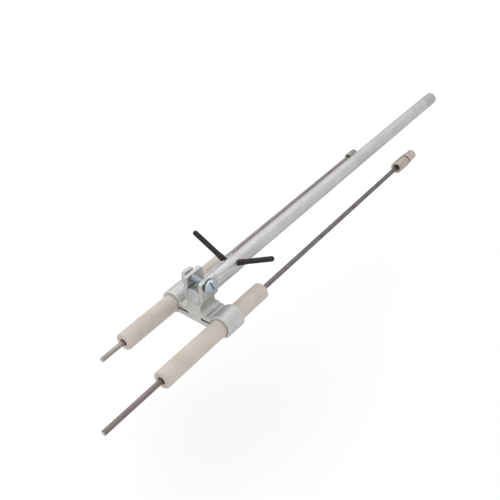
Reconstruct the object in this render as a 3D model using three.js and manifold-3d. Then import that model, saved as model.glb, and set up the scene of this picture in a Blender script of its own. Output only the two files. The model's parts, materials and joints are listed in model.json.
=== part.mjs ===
// Twin ignition electrode set for a burner head.
// A cast clamp holds two ceramic electrodes and sits on a sleeve at the front end of a long support rod.
// Millimetres. X runs across the pair, Y runs back from the spark tips, Z is up.
// Every size below is taken from the plane of the two ceramic axes and from the clamp's front end,
// and the last lines move the whole set so that the origin is at the middle of its underside.

import * as THREE from 'three';
import { mergeVertices } from 'three/addons/utils/BufferGeometryUtils.js';
import Module from 'manifold-3d';

const wasm = await Module();
wasm.setup();

// ---- Driving dimensions -------------------------------------------------------------------------

const ROUND = 32; // sides of the larger round parts
const FINE = 24; // sides of rods and screws
const RUNNING = 0.06; // radial clearance of parts that slide or turn in each other
const SEAT_GAP = 0.1; // between two parts that bear on each other or are fixed end to end
const UP = new THREE.Vector3(0, 1, 0);

const electrodePitch = 39.4; // between the two ceramic axes
const rodHeight = 16.1; // support rod's axis above the ceramic axes
const supportRod = { radius: 5.1, front: 2.1, rear: 329.2, chamfer: 0.4 };

const ceramic = { radius: 6, length: 98.5, chamfer: 0.9, bore: 1.85, seatRadius: 2.6, seatDepth: 4 };
const seal = { inset: 1.1, length: 2.7 };
const tipChamfer = 0.35;
const lead = { radius: 1.7, chamfer: 0.3 };
// The right terminal: a sleeve over the lead rod, a narrower neck, and a stud for the cap nut.
const terminal = {
  radius: 4.6, length: 14, edge: 0.5, coneRadius: 3.4, coneDepth: 1, mouthRadius: 2.1, mouthDepth: 3,
  socketDepth: 11, neckRadius: 3.3, neckLength: 1.9, studRadius: 2.4, studLength: 8.5,
};
const cap = {
  radius: 3.85, length: 13.1, edge: 0.4, flangeRadius: 4.4, flangeLength: 3, domeHeight: 2, topRadius: 2,
  boreDepth: 9,
};
// The left terminal: a plain crimped ferrule.
const ferrule = {
  radius: 3.1, length: 10.5, edge: 0.3, rounding: 0.9, mouthRadius: 2.3, mouthDepth: 2, socketDepth: 8,
};
// Where each electrode's pieces start and stop along Y.
const electrodes = {
  left: { side: -1, tipEnd: -60.5, tipRadius: 1.57, ceramicFront: -41.9, joint: 4, terminalFront: 223 },
  right: { side: 1, tipEnd: -98.1, tipRadius: 1.7, ceramicFront: -51.2, joint: -4, terminalFront: 232.4 },
};

const ring = { radius: 8.1, front: 3.1, rear: 18.9, edge: 0.5 };
const web = { front: 2.0, rear: 18.9, bottom: -4.45, endX: 13.3, filletX: 8.6, flat: 3.8, lip: 4.1 };
// Across the web's top, from the ring to the fillet: a valley, a raised lip and the flat.
const webTop = [[web.endX, 3.5], [11.7, 3.5], [11.0, web.lip], [10.1, web.lip], [9.4, web.flat]];
const neck = { halfWidth: 5.3, bottom: 8.8, rear: 16.6 };
const saddle = { radius: 7.5, boreRadius: 6.06 };
const ears = { outer: 7.4, inner: 4.4, top: 29.2, rear: 17.8, topRear: 14.8 };
const slot = { innerX: 5.1, halfWidth: 0.85 };

const sleeve = {
  radius: 6.0, boreRadius: supportRod.radius + RUNNING, front: 2.2, rear: 48.5,
  rimFront: 21.4, rimRear: 18.5, collarRadius: 2.5, collarDrop: 1.5,
};
const sleeveScrew = { radius: 1.45, length: 4.0, y: 45, socketRadius: 0.85, socketDepth: 1.5 };
const leg = { radius: 1.8, rootRadius: 2.05, rootLength: 3.5, taper: 4 };
// Each leg's axis starts close to the support rod's axis. The leg itself starts further along it,
// in the sleeve's wall.
const legLines = {
  left: { root: new THREE.Vector3(0, 40.5, 15.4), end: new THREE.Vector3(-31.0, 40.3, 30.1), start: 5.6 },
  right: { root: new THREE.Vector3(0, 42.8, 16.6), end: new THREE.Vector3(31.0, 44.4, 34.5), start: 5.1 },
};

const clampScrew = {
  y: 7.5, z: 26.5, radius: 2.45, headRadius: 4.8, headHeight: 2.7, headRounding: 0.7,
  slotWidth: 1.2, slotDepth: 1.2, slotTurn: 0.41, pastNut: 1.6,
};
const springWasher = { radius: 4.6, thickness: 1.6 };
const squareNut = { side: 8, thickness: 2.7, turn: -0.12 };
const ringScrew = {
  x: 8.3, y: 10.5, radius: 1.45, headRadius: 2.7, headHeight: 2.0,
  slotWidth: 0.8, slotDepth: 0.9, slotTurn: 0.3, threadTop: 2.7, holeTop: 3.0,
};

// ---- Materials ----------------------------------------------------------------------------------

function metal(color, roughness) {
  return new THREE.MeshStandardMaterial({ color, roughness, metalness: 1 });
}

const castAluminium = metal(0xb9bab4, 0.55);
const brightAluminium = metal(0xd2d2d4, 0.35);
const zincPlate = metal(0xbcc4ca, 0.3);
const nickelPlate = metal(0xb5aa9d, 0.35);
const brightWire = metal(0xa9a3a0, 0.3);
const brownedWire = metal(0x76686a, 0.5);
const darkSteel = metal(0x6e6a6b, 0.5);
const blackSteel = metal(0x3c3936, 0.6);
const ceramicBody = new THREE.MeshStandardMaterial({ color: 0xd6ccc0, roughness: 0.85, metalness: 0 });
const cement = new THREE.MeshStandardMaterial({ color: 0x5b5048, roughness: 0.95, metalness: 0 });

// ---- Geometry helpers ---------------------------------------------------------------------------

// A solid turned about Y. The outline is a list of [radius, y] that starts and ends on the axis.
function turned(outline, sides) {
  return new THREE.LatheGeometry(outline.map(([radius, y]) => new THREE.Vector2(radius, y)), sides);
}

// A turned solid with a hole through it: the outline is closed on itself.
function turnedRing(outline, sides) {
  return turned([...outline, outline[0]], sides);
}

// A plain bar along Y with both ends chamfered.
function bar(radius, from, to, chamfer, sides) {
  return turned([
    [0, from],
    [radius - chamfer, from],
    [radius, from + chamfer],
    [radius, to - chamfer],
    [radius - chamfer, to],
    [0, to],
  ], sides);
}

function cylinderAlongX(radius, from, to, y, z, sides) {
  const geometry = new THREE.CylinderGeometry(radius, radius, to - from, sides);
  geometry.rotateZ(-Math.PI / 2);
  return geometry.translate((from + to) / 2, y, z);
}

function cylinderAlongY(radius, from, to, x, z, sides) {
  const geometry = new THREE.CylinderGeometry(radius, radius, to - from, sides);
  return geometry.translate(x, (from + to) / 2, z);
}

function cylinderAlongZ(radius, from, to, x, y, sides) {
  const geometry = new THREE.CylinderGeometry(radius, radius, to - from, sides);
  geometry.rotateX(Math.PI / 2);
  return geometry.translate(x, y, (from + to) / 2);
}

function block(x0, x1, y0, y1, z0, z1) {
  const geometry = new THREE.BoxGeometry(x1 - x0, y1 - y0, z1 - z0);
  return geometry.translate((x0 + x1) / 2, (y0 + y1) / 2, (z0 + z1) / 2);
}

// A shape drawn in X and Z, extruded along Y.
function extrudedAlongY(shape, from, to) {
  const geometry = new THREE.ExtrudeGeometry(shape, {
    depth: to - from, bevelEnabled: false, curveSegments: 8,
  });
  geometry.rotateX(Math.PI / 2);
  return geometry.translate(0, to, 0);
}

// A shape drawn in Y and Z, extruded along X.
function extrudedAlongX(shape, from, to) {
  const geometry = new THREE.ExtrudeGeometry(shape, {
    depth: to - from, bevelEnabled: false, curveSegments: 6,
  });
  geometry.rotateX(Math.PI / 2);
  geometry.rotateZ(Math.PI / 2);
  return geometry.translate(from, 0, 0);
}

function solidOf(geometry) {
  const bare = geometry.clone();
  bare.deleteAttribute('normal');
  bare.deleteAttribute('uv');
  const merged = mergeVertices(bare);
  const corners = merged.index.array;
  const triangles = [];
  for (let i = 0; i < corners.length; i += 3) {
    const [a, b, c] = corners.slice(i, i + 3);
    if (a !== b && b !== c && c !== a) triangles.push(a, b, c);
  }
  return new wasm.Manifold(new wasm.Mesh({
    numProp: 3,
    vertProperties: new Float32Array(merged.attributes.position.array),
    triVerts: new Uint32Array(triangles),
  }));
}

function geometryOf(solid) {
  const { vertProperties, triVerts } = solid.getMesh();
  const geometry = new THREE.BufferGeometry();
  geometry.setAttribute('position', new THREE.BufferAttribute(vertProperties, 3));
  geometry.setIndex(new THREE.BufferAttribute(triVerts, 1));
  geometry.computeVertexNormals();
  return geometry;
}

function join(...geometries) {
  return geometries.map(solidOf).reduce((whole, piece) => whole.add(piece));
}

function cut(whole, ...geometries) {
  return geometries.map(solidOf).reduce((rest, piece) => rest.subtract(piece), whole);
}

function piece(name, geometry, material) {
  const mesh = new THREE.Mesh(geometry, material);
  mesh.name = name;
  return mesh;
}

function groupOf(...children) {
  const group = new THREE.Group();
  group.add(...children);
  return group;
}

// ---- Clamp body ---------------------------------------------------------------------------------

// Front outline of the web, neck, saddle and ears, with the space between the ears still filled.
function clampOutline() {
  const filletX = neck.halfWidth + 0.2;
  const filletZ = web.flat + 0.6;
  const flare = Math.acos(neck.halfWidth / saddle.radius);
  const meet = Math.acos(ears.outer / saddle.radius);
  const shape = new THREE.Shape();
  shape.moveTo(-web.endX, web.bottom);
  shape.lineTo(web.endX, web.bottom);
  webTop.forEach(([x, z]) => shape.lineTo(x, z));
  shape.lineTo(web.filletX, web.flat);
  shape.quadraticCurveTo(filletX, filletZ, neck.halfWidth, neck.bottom);
  shape.absarc(0, rodHeight, saddle.radius, -flare, -meet, false);
  shape.lineTo(ears.outer, ears.top);
  shape.lineTo(-ears.outer, ears.top);
  shape.absarc(0, rodHeight, saddle.radius, Math.PI + meet, Math.PI + flare, false);
  shape.lineTo(-neck.halfWidth, neck.bottom);
  shape.quadraticCurveTo(-filletX, filletZ, -web.filletX, web.flat);
  webTop.toReversed().forEach(([x, z]) => shape.lineTo(-x, z));
  return shape;
}

// Side outline: flush front face, ears rounded at the top rear, neck set forward at the back.
function clampSideOutline() {
  const frontEdge = 0.8;
  const shape = new THREE.Shape();
  shape.moveTo(web.front, web.bottom - 1);
  shape.lineTo(web.rear, web.bottom - 1);
  shape.lineTo(web.rear, web.lip + 0.6);
  shape.quadraticCurveTo(neck.rear, web.lip + 1.4, neck.rear, neck.bottom);
  shape.quadraticCurveTo(neck.rear, neck.bottom + 3, ears.rear, neck.bottom + 4.4);
  shape.lineTo(ears.rear, ears.top - 5);
  shape.quadraticCurveTo(ears.rear, ears.top, ears.topRear, ears.top);
  shape.lineTo(web.front + frontEdge, ears.top);
  shape.lineTo(web.front, ears.top - frontEdge);
  return shape;
}

function ringBlank(side) {
  const { radius, front, rear, edge } = ring;
  const blank = bar(radius, front, rear, edge, ROUND);
  return blank.translate(side * electrodePitch / 2, 0, 0);
}

// The keyhole slot that lets a ring close on its ceramic, round at its inner end.
function slotCutters(side) {
  const inner = side * (slot.innerX + slot.halfWidth);
  const outer = side * (electrodePitch / 2 - ceramic.radius / 2);
  const from = web.front - 1;
  const to = web.rear + 1;
  return [
    block(Math.min(inner, outer), Math.max(inner, outer), from, to, -slot.halfWidth, slot.halfWidth),
    cylinderAlongY(slot.halfWidth, from, to, inner, 0, FINE),
  ];
}

function clampBody() {
  const core = solidOf(extrudedAlongY(clampOutline(), web.front, web.rear))
    .intersect(solidOf(extrudedAlongX(clampSideOutline(), -web.endX - 1, web.endX + 1)));
  const blank = core.add(join(ringBlank(-1), ringBlank(1)));
  const cutters = [
    cylinderAlongY(saddle.boreRadius, 0, web.rear + 2, 0, rodHeight, ROUND),
    block(-ears.inner, ears.inner, 0, web.rear + 2, rodHeight, ears.top + 2),
    cylinderAlongX(clampScrew.radius + RUNNING, -ears.outer - 1, ears.outer + 1,
      clampScrew.y, clampScrew.z, FINE),
  ];
  for (const side of [-1, 1]) {
    const x = side * ringScrew.x;
    cutters.push(
      cylinderAlongY(ceramic.radius + RUNNING, 0, ring.rear + 2, side * electrodePitch / 2, 0, ROUND),
      ...slotCutters(side),
      cylinderAlongZ(ringScrew.radius + RUNNING, web.bottom - 1, ringScrew.holeTop, x, ringScrew.y, FINE),
    );
  }
  return geometryOf(cut(blank, ...cutters));
}

// ---- Clamp hardware -----------------------------------------------------------------------------

// A slotted screw along Y: the head stands on y = 0 and the shank hangs below it.
function slottedScrew(screw, shankLength, rounding) {
  const { radius, headRadius, headHeight, slotWidth, slotDepth } = screw;
  const point = radius * 0.25;
  const blank = turned([
    [0, -shankLength],
    [radius - point, -shankLength],
    [radius, point - shankLength],
    [radius, 0],
    [headRadius, 0],
    [headRadius, headHeight - rounding],
    [headRadius - rounding * 0.3, headHeight - rounding * 0.3],
    [headRadius - rounding, headHeight],
    [0, headHeight],
  ], FINE);
  const slotCutter = block(-slotWidth / 2, slotWidth / 2, headHeight - slotDepth, headHeight + 1,
    -headRadius - 1, headRadius + 1);
  slotCutter.rotateY(screw.slotTurn);
  return geometryOf(cut(solidOf(blank), slotCutter));
}

function washerGeometry() {
  const { radius, thickness } = springWasher;
  const inner = clampScrew.radius + RUNNING;
  return turnedRing([[inner, 0], [radius, 0], [radius, thickness], [inner, thickness]], FINE);
}

function squareNutGeometry() {
  const half = squareNut.side / 2;
  const blank = solidOf(block(-half, half, 0, squareNut.thickness, -half, half));
  const bore = new THREE.CylinderGeometry(clampScrew.radius + RUNNING, clampScrew.radius + RUNNING,
    squareNut.thickness * 3, FINE);
  return geometryOf(cut(blank, bore));
}

// The cross screw's own group has its Y axis along the frame's X axis.
function crossScrewGroup() {
  const seat = ears.outer + springWasher.thickness + 2 * SEAT_GAP;
  const farEnd = -ears.outer - SEAT_GAP - squareNut.thickness - clampScrew.pastNut;
  const screw = piece('clamp_screw', slottedScrew(clampScrew, seat - farEnd, clampScrew.headRounding),
    zincPlate);
  screw.position.y = seat;
  const washer = piece('clamp_spring_washer', washerGeometry(), darkSteel);
  washer.position.y = ears.outer + SEAT_GAP;
  const nut = piece('clamp_square_nut', squareNutGeometry(), zincPlate);
  nut.position.y = -ears.outer - SEAT_GAP - squareNut.thickness;
  nut.rotation.y = squareNut.turn;
  const group = groupOf(screw, washer, nut);
  group.rotation.z = -Math.PI / 2;
  group.position.set(0, clampScrew.y, clampScrew.z);
  return group;
}

function ringScrewMesh(name, side) {
  const seat = web.bottom - SEAT_GAP;
  const screw = piece(name, slottedScrew(ringScrew, ringScrew.threadTop - seat, 0.4), zincPlate);
  screw.rotation.x = -Math.PI / 2;
  screw.position.set(side * ringScrew.x, ringScrew.y, seat);
  return screw;
}

function clampGroup() {
  return groupOf(
    piece('clamp_body', clampBody(), castAluminium),
    crossScrewGroup(),
    ringScrewMesh('left_ring_screw', -1),
    ringScrewMesh('right_ring_screw', 1),
  );
}

// ---- Support rod, centring sleeve and legs ------------------------------------------------------

function directionOf(line) {
  return line.end.clone().sub(line.root).normalize();
}

// A pin along Y, measured from the start of its axis: thick root, gentle taper, rounded end.
function legGeometry(start, reach) {
  const { radius, rootRadius, rootLength, taper } = leg;
  const outline = [
    [0, start],
    [rootRadius - 0.2, start],
    [rootRadius, start + 0.2],
    [rootRadius, start + rootLength],
    [radius, start + rootLength + taper],
  ];
  const steps = 4;
  for (let i = 0; i < steps; i += 1) {
    const angle = (i / steps) * (Math.PI / 2);
    outline.push([radius * Math.cos(angle), reach - radius + radius * Math.sin(angle)]);
  }
  outline.push([0, reach]);
  return turned(outline, FINE);
}

function legMesh(name, line) {
  const mesh = piece(name, legGeometry(line.start, line.end.distanceTo(line.root)), blackSteel);
  mesh.position.copy(line.root);
  mesh.quaternion.setFromUnitVectors(UP, directionOf(line));
  return mesh;
}

// The hole in the sleeve's rim that a leg's root stands in.
function legNotch(line) {
  const radius = leg.rootRadius + SEAT_GAP;
  const geometry = new THREE.CylinderGeometry(radius, radius, sleeve.radius, FINE);
  geometry.translate(0, sleeve.radius, 0);
  geometry.applyQuaternion(new THREE.Quaternion().setFromUnitVectors(UP, directionOf(line)));
  return geometry.translate(line.root.x, line.root.y, line.root.z);
}

// Everything above the sleeve's two rims, which slope down towards the rear.
function rimCutter() {
  const beyond = 2;
  const slope = (sleeve.rimRear - sleeve.rimFront) / (sleeve.rear - sleeve.front);
  const shape = new THREE.Shape();
  shape.moveTo(sleeve.front - beyond, sleeve.rimFront - slope * beyond);
  shape.lineTo(sleeve.rear + beyond, sleeve.rimRear + slope * beyond);
  shape.lineTo(sleeve.rear + beyond, ears.top);
  shape.lineTo(sleeve.front - beyond, ears.top);
  return extrudedAlongX(shape, -saddle.radius, saddle.radius);
}

function sleeveGeometry() {
  const bottom = rodHeight - sleeve.radius;
  const tube = cylinderAlongY(sleeve.radius, sleeve.front, sleeve.rear, 0, rodHeight, ROUND);
  const collar = cylinderAlongZ(sleeve.collarRadius, bottom - sleeve.collarDrop, bottom + 0.4,
    0, sleeveScrew.y, FINE);
  return geometryOf(cut(
    join(tube, collar),
    cylinderAlongY(sleeve.boreRadius, sleeve.front - 1, sleeve.rear + 1, 0, rodHeight, ROUND),
    cylinderAlongZ(sleeveScrew.radius + RUNNING, bottom - sleeve.radius, rodHeight, 0, sleeveScrew.y, FINE),
    rimCutter(),
    legNotch(legLines.left),
    legNotch(legLines.right),
  ));
}

function sleeveScrewMesh() {
  const { radius, length, y, socketRadius, socketDepth } = sleeveScrew;
  const top = rodHeight - supportRod.radius - SEAT_GAP;
  const blank = bar(radius, 0, length, 0.3, FINE);
  const socket = new THREE.CylinderGeometry(socketRadius, socketRadius, socketDepth * 2, 6);
  const screw = piece('sleeve_set_screw', geometryOf(cut(solidOf(blank), socket)), blackSteel);
  screw.rotation.x = Math.PI / 2;
  screw.position.set(0, y, top - length);
  return screw;
}

function supportGroup() {
  const rod = piece(
    'support_rod',
    bar(supportRod.radius, supportRod.front, supportRod.rear, supportRod.chamfer, ROUND),
    brightAluminium,
  );
  rod.position.z = rodHeight;
  return groupOf(
    rod,
    piece('centring_sleeve', sleeveGeometry(), brightAluminium),
    sleeveScrewMesh(),
    legMesh('left_centring_leg', legLines.left),
    legMesh('right_centring_leg', legLines.right),
  );
}

// ---- Electrodes ---------------------------------------------------------------------------------

function ceramicGeometry() {
  const { radius, length, chamfer, bore, seatRadius, seatDepth } = ceramic;
  const cone = seatRadius - bore;
  return turnedRing([
    [seatRadius, 0],
    [radius - chamfer, 0],
    [radius, chamfer],
    [radius, length - chamfer],
    [radius - chamfer, length],
    [seatRadius, length],
    [seatRadius, length - seatDepth],
    [bore, length - seatDepth - cone],
    [bore, seatDepth + cone],
    [seatRadius, seatDepth],
  ], ROUND);
}

function sealGeometry(wireRadius) {
  const inner = wireRadius + RUNNING;
  const outer = ceramic.seatRadius - RUNNING;
  return turnedRing([[inner, 0], [outer, 0], [outer, seal.length], [inner, seal.length]], FINE);
}

// A socket for the lead rod, open at the front through a cone, with a neck and a stud behind it.
function terminalGeometry() {
  const { radius, length, edge, coneRadius, coneDepth, mouthRadius, mouthDepth, socketDepth } = terminal;
  const { neckRadius, neckLength, studRadius, studLength } = terminal;
  const socketRadius = lead.radius + RUNNING;
  const neckEnd = length + neckLength;
  return turned([
    [0, socketDepth],
    [socketRadius, socketDepth],
    [socketRadius, mouthDepth + 0.5],
    [mouthRadius, mouthDepth],
    [mouthRadius, coneDepth],
    [coneRadius, 0],
    [radius - edge, 0],
    [radius, edge],
    [radius, length - edge],
    [radius - edge, length],
    [neckRadius, length],
    [neckRadius, neckEnd],
    [studRadius, neckEnd],
    [studRadius, neckEnd + studLength - edge],
    [studRadius - edge, neckEnd + studLength],
    [0, neckEnd + studLength],
  ], ROUND);
}

// A blind nut with a low flange at its open end and a domed top.
function capGeometry() {
  const { radius, length, edge, flangeRadius, flangeLength, domeHeight, topRadius, boreDepth } = cap;
  const boreRadius = terminal.studRadius + RUNNING;
  return turned([
    [0, boreDepth],
    [boreRadius, boreDepth],
    [boreRadius, 0],
    [flangeRadius - edge, 0],
    [flangeRadius, edge],
    [flangeRadius, flangeLength - edge],
    [radius, flangeLength + edge],
    [radius, length - domeHeight],
    [radius - 0.3 * (radius - topRadius), length - 0.4 * domeHeight],
    [topRadius, length],
    [0, length],
  ], ROUND);
}

function ferruleGeometry() {
  const { radius, length, edge, rounding, mouthRadius, mouthDepth, socketDepth } = ferrule;
  const socketRadius = lead.radius + RUNNING;
  return turned([
    [0, socketDepth],
    [socketRadius, socketDepth],
    [socketRadius, mouthDepth + 0.5],
    [mouthRadius, mouthDepth],
    [mouthRadius, 0],
    [radius - edge, 0],
    [radius, edge],
    [radius, length - rounding],
    [radius - 0.3 * rounding, length - 0.3 * rounding],
    [radius - rounding, length],
    [0, length],
  ], ROUND);
}

// The pieces both electrodes have: tip wire, lead rod, insulator and the cement at its two ends.
function wiresAndInsulator(name, electrode, socketDepth, tipMaterial) {
  const { tipEnd, tipRadius, ceramicFront, joint, terminalFront } = electrode;
  const ceramicRear = ceramicFront + ceramic.length;
  const leadEnd = terminalFront + socketDepth - SEAT_GAP;
  const tipBar = bar(tipRadius, tipEnd, joint - SEAT_GAP / 2, tipChamfer, FINE);
  const leadBar = bar(lead.radius, joint + SEAT_GAP / 2, leadEnd, lead.chamfer, FINE);
  const insulator = piece(`${name}_insulator`, ceramicGeometry(), ceramicBody);
  insulator.position.y = ceramicFront;
  const frontSeal = piece(`${name}_front_seal`, sealGeometry(tipRadius), cement);
  frontSeal.position.y = ceramicFront + seal.inset;
  const rearSeal = piece(`${name}_rear_seal`, sealGeometry(lead.radius), cement);
  rearSeal.position.y = ceramicRear - seal.inset - seal.length;
  return groupOf(
    piece(`${name}_electrode_tip`, tipBar, tipMaterial),
    piece(`${name}_lead_rod`, leadBar, darkSteel),
    insulator,
    frontSeal,
    rearSeal,
  );
}

function leftElectrodeGroup() {
  const { side, terminalFront } = electrodes.left;
  const group = wiresAndInsulator('left', electrodes.left, ferrule.socketDepth, brightWire);
  const end = piece('left_terminal_ferrule', ferruleGeometry(), nickelPlate);
  end.position.y = terminalFront;
  group.add(end);
  group.position.x = side * electrodePitch / 2;
  return group;
}

function rightElectrodeGroup() {
  const { side, terminalFront } = electrodes.right;
  const group = wiresAndInsulator('right', electrodes.right, terminal.socketDepth, brownedWire);
  const socket = piece('right_terminal_sleeve', terminalGeometry(), nickelPlate);
  socket.position.y = terminalFront;
  const nut = piece('right_terminal_nut', capGeometry(), nickelPlate);
  nut.position.y = terminalFront + terminal.length + terminal.neckLength + SEAT_GAP;
  group.add(socket, nut);
  group.position.x = side * electrodePitch / 2;
  return group;
}

// ---- The whole set ------------------------------------------------------------------------------

const electrodeSet = groupOf(
  clampGroup(),
  supportGroup(),
  leftElectrodeGroup(),
  rightElectrodeGroup(),
);
electrodeSet.position.set(0, -(electrodes.right.tipEnd + supportRod.rear) / 2, ring.radius);

export default groupOf(electrodeSet);
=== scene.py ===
"""The looks of a twin ignition electrode set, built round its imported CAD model. Blender 4.5.

Shapes are drawn in millimetres in the drawing frame: X runs across the pair, Y runs back from
the spark tips and Z is up, with the origin midway between the two ceramic axes. Turned parts are
drawn about Y. finish_piece() brings each shape into the row frame, in metres.
"""

import json
import math
from types import SimpleNamespace as Sizes

import bmesh
import bpy
from mathutils import Matrix, Vector, noise

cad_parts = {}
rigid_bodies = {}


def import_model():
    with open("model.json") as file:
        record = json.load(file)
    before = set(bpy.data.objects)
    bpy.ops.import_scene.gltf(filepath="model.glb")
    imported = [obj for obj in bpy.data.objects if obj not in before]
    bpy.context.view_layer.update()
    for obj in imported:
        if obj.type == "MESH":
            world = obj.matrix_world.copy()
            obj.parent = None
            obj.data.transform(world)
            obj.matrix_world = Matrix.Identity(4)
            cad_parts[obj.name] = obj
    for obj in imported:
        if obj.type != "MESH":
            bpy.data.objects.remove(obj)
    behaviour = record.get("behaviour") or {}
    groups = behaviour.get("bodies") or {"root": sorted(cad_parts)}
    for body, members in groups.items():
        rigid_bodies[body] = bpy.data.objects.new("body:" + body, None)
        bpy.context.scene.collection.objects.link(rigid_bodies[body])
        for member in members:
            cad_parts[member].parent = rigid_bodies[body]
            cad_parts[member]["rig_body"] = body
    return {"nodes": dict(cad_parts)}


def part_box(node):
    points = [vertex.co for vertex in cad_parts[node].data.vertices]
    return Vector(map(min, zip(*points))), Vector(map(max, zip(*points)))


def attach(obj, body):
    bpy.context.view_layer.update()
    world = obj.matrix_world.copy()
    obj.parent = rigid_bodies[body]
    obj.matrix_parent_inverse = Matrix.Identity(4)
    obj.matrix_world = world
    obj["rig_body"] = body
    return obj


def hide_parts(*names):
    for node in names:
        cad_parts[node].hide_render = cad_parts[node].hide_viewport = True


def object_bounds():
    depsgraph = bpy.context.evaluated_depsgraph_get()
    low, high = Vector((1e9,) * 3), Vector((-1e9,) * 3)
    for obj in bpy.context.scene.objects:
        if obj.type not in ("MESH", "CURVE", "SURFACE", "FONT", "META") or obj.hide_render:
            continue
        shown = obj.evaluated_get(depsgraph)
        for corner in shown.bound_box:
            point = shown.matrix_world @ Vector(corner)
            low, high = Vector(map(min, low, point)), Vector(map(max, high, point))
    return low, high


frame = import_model()
cad_low, cad_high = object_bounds()

# ---- Driving dimensions, in millimetres ---------------------------------------------------------

MM = 0.001
SMOOTH_SIDES = 96  # sides of rods, rings and ceramics
SCREW_SIDES = 48
ROD_HEIGHT = 16.1  # support rod's axis above the ceramic axes
CERAMIC_X = 19.7  # each ceramic axis from the middle
PAST = 2.0  # how far a cutter or a side view runs past what it shapes
CUTTER_EDGE = 0.1  # rounding of a drill's ends
CLEARANCE = 0.1  # between a screw or a leg and the hole it stands in

RING = Sizes(radius=8.1, bore=6.06, front=3.1, rear=18.9, edge=0.8)
WEB = Sizes(front=2.0, rear=18.9, bottom=-4.45, end=13.3)
# Right half of the web's top, as (x, z): a valley beside the ring, a raised lip and the flat.
WEB_TOP = [(13.3, 3.5), (11.7, 3.5), (11.0, 4.1), (10.1, 4.1), (9.4, 3.8), (8.6, 3.8)]
# The neck's front view curves from the flat towards a corner and up to its bottom. Its side view
# steps in at its foot, measured from the web's lip, and flares out again above its bottom.
NECK = Sizes(
    half_width=5.3, bottom=8.8, rear=16.6, corner_out=0.2, corner_up=0.6,
    foot_rear=0.9, foot_front=1.6, flare_start=2.0, flare_end=4.4,
    foot_edge=1.5, foot_fillet=2.0, flare_fillet=3.0, flare_edge=1.5,
)
SADDLE = Sizes(radius=7.5, bore=6.06)
EARS = Sizes(outer=7.4, inner=4.4, top=29.2, rear=17.8, top_rear=14.8, front_edge=0.8)
SLOT = Sizes(inner=5.95, half_width=0.85)

SLEEVE = Sizes(
    radius=6.0, bore=5.16, front=2.2, rear=48.5, rim_front=21.4, rim_rear=18.5,
    collar_radius=2.5, collar_drop=1.5, collar_overlap=0.5, screw_y=45, edge=0.2,
)
SET_SCREW = Sizes(socket_radius=0.85, socket_depth=1.5, socket_point=0.3, edge=0.2)
LEG = Sizes(
    radius=1.8, root_radius=2.05, root_length=3.5, taper=4.0, end_inset=0.1,
    root_edge=0.25, taper_blend=3.0, end_rounding=1.71,
)
# Each leg's axis starts close to the support rod's axis. The leg starts further along it.
LEG_LINES = {
    "left": Sizes(root=Vector((0, 40.5, 15.4)), end=Vector((-31.0, 40.3, 30.1)), start=5.6),
    "right": Sizes(root=Vector((0, 42.8, 16.6)), end=Vector((31.0, 44.4, 34.5)), start=5.1),
}

CROSS_SCREW = Sizes(
    y=7.5, z=26.5, seat=9.2, far_end=-11.8, head_radius=4.8, head_height=2.7, rounding=0.8,
    slot_width=1.2, slot_depth=1.3, slot_turn=0.41,
)
RING_SCREW = Sizes(
    x=8.3, y=10.5, seat=-4.55, far_end=2.7, head_radius=2.7, head_height=2.0, rounding=0.5,
    slot_width=0.8, slot_depth=0.9, slot_turn=0.3, hole_spare=0.3,
)
HEAD_EDGE = 0.15  # rounding of the underside of a screw's head
STUB = Sizes(length=0.3, inset=0.1, overlap=0.05)  # joins a screw's head to its thread
WASHER = Sizes(bore=2.6, radius=4.6, thickness=1.2, rise=0.4, seat=7.5, gap=math.radians(14), edge=0.15)
NUT = Sizes(
    side=8.0, thickness=2.7, seat=-7.5, bore=2.55, turn=-0.12,
    edge=0.25, cone_depth=1.2, cone_past=0.1, countersink=0.4,
)
# Threads: crest radius, root radius and pitch.
CROSS_THREAD = Sizes(crest=2.45, root=2.02, pitch=0.8)
FINE_THREAD = Sizes(crest=1.45, root=1.16, pitch=0.5)
THREAD_CHAMFER = 0.25

CERAMIC = Sizes(bore=1.85, seat_radius=2.6, seat_depth=4.0, edge=0.9, seat_edge=0.25)
# Cement: the gap round the wire, how deep its faces dip and how many bumps they have in a millimetre.
CEMENT = Sizes(gap=0.06, dip=0.35, bumps=1.7)
WIRE_EDGE = 0.3
SOCKET = Sizes(radius=1.76, lead_in=0.5)  # the hole that the lead rod stands in
TERMINAL = Sizes(
    length=14.0, cone_radius=3.4, cone_depth=1.0, mouth_radius=2.1, mouth_depth=3.0, socket_depth=11.0,
    neck_radius=3.3, neck_length=1.9, edge=0.5, cone_edge=0.15, neck_edge=0.2,
)
CAP = Sizes(
    bore=2.46, bore_depth=9.0, radius=3.85, flange_length=3.0, dome_height=2.0, top_radius=2.0,
    bore_edge=0.2, front_edge=0.4, flange_edge=0.3, step_edge=0.2, shoulder=1.6, top_edge=1.2,
)
FERRULE = Sizes(
    mouth_radius=2.3, mouth_depth=2.0, socket_depth=8.0, mouth_edge=0.2, front_edge=0.3, rounding=0.9,
)
ROD_EDGE = 0.45
ROD_DULL_LENGTH = 17  # the support rod's rear end has lost its sheen over this length
DULL_FADE = 1.5  # the sheen is lost over this length

# ---- Camera -------------------------------------------------------------------------------------

# The place is in the drawing frame and the angles are in degrees.
CAMERA = Sizes(place=(240.5, -260.8, 338.6), tilt=51.217, turn=36.758, lens=55.35)


def add_camera():
    data = bpy.data.cameras.new("camera")
    data.lens = CAMERA.lens
    camera = bpy.data.objects.new("camera", data)
    camera.location = TO_ROW_FRAME @ Vector(CAMERA.place)
    camera.rotation_euler = (math.radians(CAMERA.tilt), 0, math.radians(CAMERA.turn))
    bpy.context.scene.collection.objects.link(camera)
    bpy.context.scene.camera = camera


# ---- The frame ----------------------------------------------------------------------------------


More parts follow.
